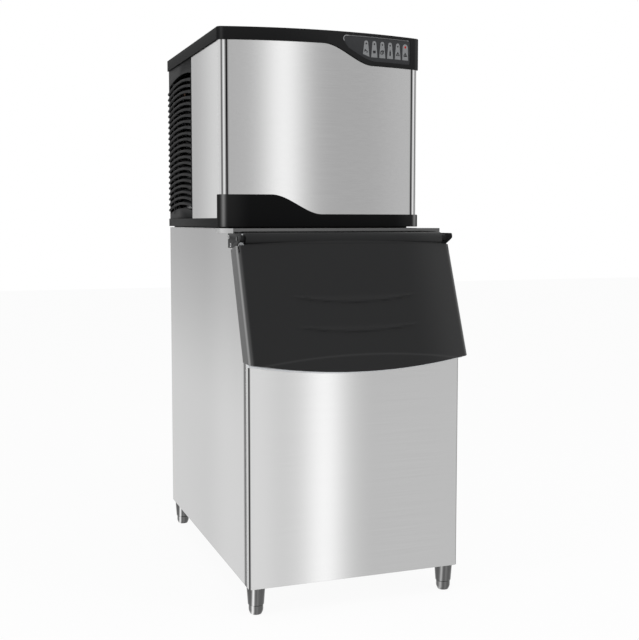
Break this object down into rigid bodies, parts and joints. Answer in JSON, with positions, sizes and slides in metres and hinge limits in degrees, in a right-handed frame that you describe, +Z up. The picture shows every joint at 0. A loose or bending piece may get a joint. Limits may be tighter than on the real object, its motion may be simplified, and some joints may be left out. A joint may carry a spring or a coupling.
{
  "type": "nugget ice maker",
  "caption": "Free-standing nugget ice maker: an ice-making head with side louvres on an insulated bin with a slanted lift-up door and adjustable legs.",
  "frame": {"origin": "on the floor, under the middle of the whole machine", "axes": "+X to the right seen from the front, +Y to the back, +Z up; the door faces -Y"},
  "size_m": [0.576, 0.9354, 1.454],
  "materials": {
    "steel": "satin",
    "black_plastic": "satin",
    "door_plastic": "matte",
    "fascia_grey": "satin",
    "liner_white": "satin",
    "foam": "matte",
    "gasket_rubber": "matte",
    "cast_housing": "matte",
    "black_enamel": "satin",
    "copper": "satin",
    "brass": "satin",
    "fin_metal": "satin"
  },
  "bodies": {
    "root": {"bin_left_side": "steel", "bin_right_side": "steel", "bin_front_panel": "steel", "bin_rear_panel": "steel", "bin_base_plate": "steel", "bin_deck": "steel", "head_left_panel": "steel", "head_right_panel": "steel", "head_front_panel": "steel", "head_rear_panel": "steel", "control_box": "steel", "tank_shelf": "steel", "hinge_pin_left": "steel", "hinge_pin_right": "steel", "leg_front_left": "steel", "leg_front_right": "steel", "leg_rear_left": "steel", "leg_rear_right": "steel", "evaporator_barrel": "steel", "extruder_head": "steel", "head_base_pan": "black_plastic", "head_top_cap": "black_plastic", "head_front_apron": "black_plastic", "left_louvre_grille": "black_plastic", "right_louvre_grille": "black_plastic", "hinge_bracket_left": "black_plastic", "hinge_bracket_right": "black_plastic", "drain_fitting": "black_plastic", "cable_gland": "black_plastic", "control_fascia": "fascia_grey", "bin_liner": "liner_white", "ice_chute": "liner_white", "water_reservoir": "liner_white", "bin_insulation": "foam", "deck_gasket": "gasket_rubber", "feed_hose": "gasket_rubber", "gear_motor": "cast_housing", "compressor": "black_enamel", "fan_shroud": "black_enamel", "fan_motor": "black_enamel", "discharge_pipe": "copper", "liquid_pipe": "copper", "expansion_pipe": "copper", "suction_pipe": "copper", "filter_drier": "copper", "inlet_valve": "brass", "water_inlet_fitting": "brass", "bin_drain_fitting": "brass", "condenser_coil": "fin_metal"},
    "door": {"door_outer_shell": "door_plastic", "door_inner_liner": "liner_white"},
    "fan": {"fan_blade": "fin_metal"},
    "auger_screw": {"auger": "steel"},
    "float": {"float_arm": "liner_white"},
    "flap": {"bin_full_flap": "liner_white"},
    "foot_front_left": {"foot_front_left": "steel"},
    "foot_front_right": {"foot_front_right": "steel"},
    "foot_rear_left": {"foot_rear_left": "steel"},
    "foot_rear_right": {"foot_rear_right": "steel"}
  },
  "joints": [
    {"name": "door_swing", "type": "hinge", "parent": "root", "child": "door", "pos_m": [0, -0.34135, 0.915], "axis": [-1, 0, 0], "range_deg": [0, 165]},
    {"name": "fan_spin", "type": "hinge", "parent": "root", "child": "fan", "pos_m": [-0.196, 0.28975, 1.1363], "axis": [1, 0, 0], "continuous": true},
    {"name": "auger_spin", "type": "hinge", "parent": "root", "child": "auger_screw", "pos_m": [0.15, 0.02865, 1.1], "axis": [0, 0, 1], "continuous": true},
    {"name": "float_swing", "type": "hinge", "parent": "root", "child": "float", "pos_m": [0.215, 0.22765, 1.2126], "axis": [-1, 0, 0], "range_deg": [0, 12]},
    {"name": "flap_lift", "type": "hinge", "parent": "root", "child": "flap", "pos_m": [-0.055, -0.02635, 1.3362], "axis": [0, -1, 0], "range_deg": [0, 35]},
    {"name": "foot_front_left_screw", "type": "slide", "parent": "root", "child": "foot_front_left", "axis": [0, 0, -1], "range_m": [0, 0.02]},
    {"name": "foot_front_right_screw", "type": "slide", "parent": "root", "child": "foot_front_right", "axis": [0, 0, -1], "range_m": [0, 0.02]},
    {"name": "foot_rear_left_screw", "type": "slide", "parent": "root", "child": "foot_rear_left", "axis": [0, 0, -1], "range_m": [0, 0.02]},
    {"name": "foot_rear_right_screw", "type": "slide", "parent": "root", "child": "foot_rear_right", "axis": [0, 0, -1], "range_m": [0, 0.02]}
  ]
}
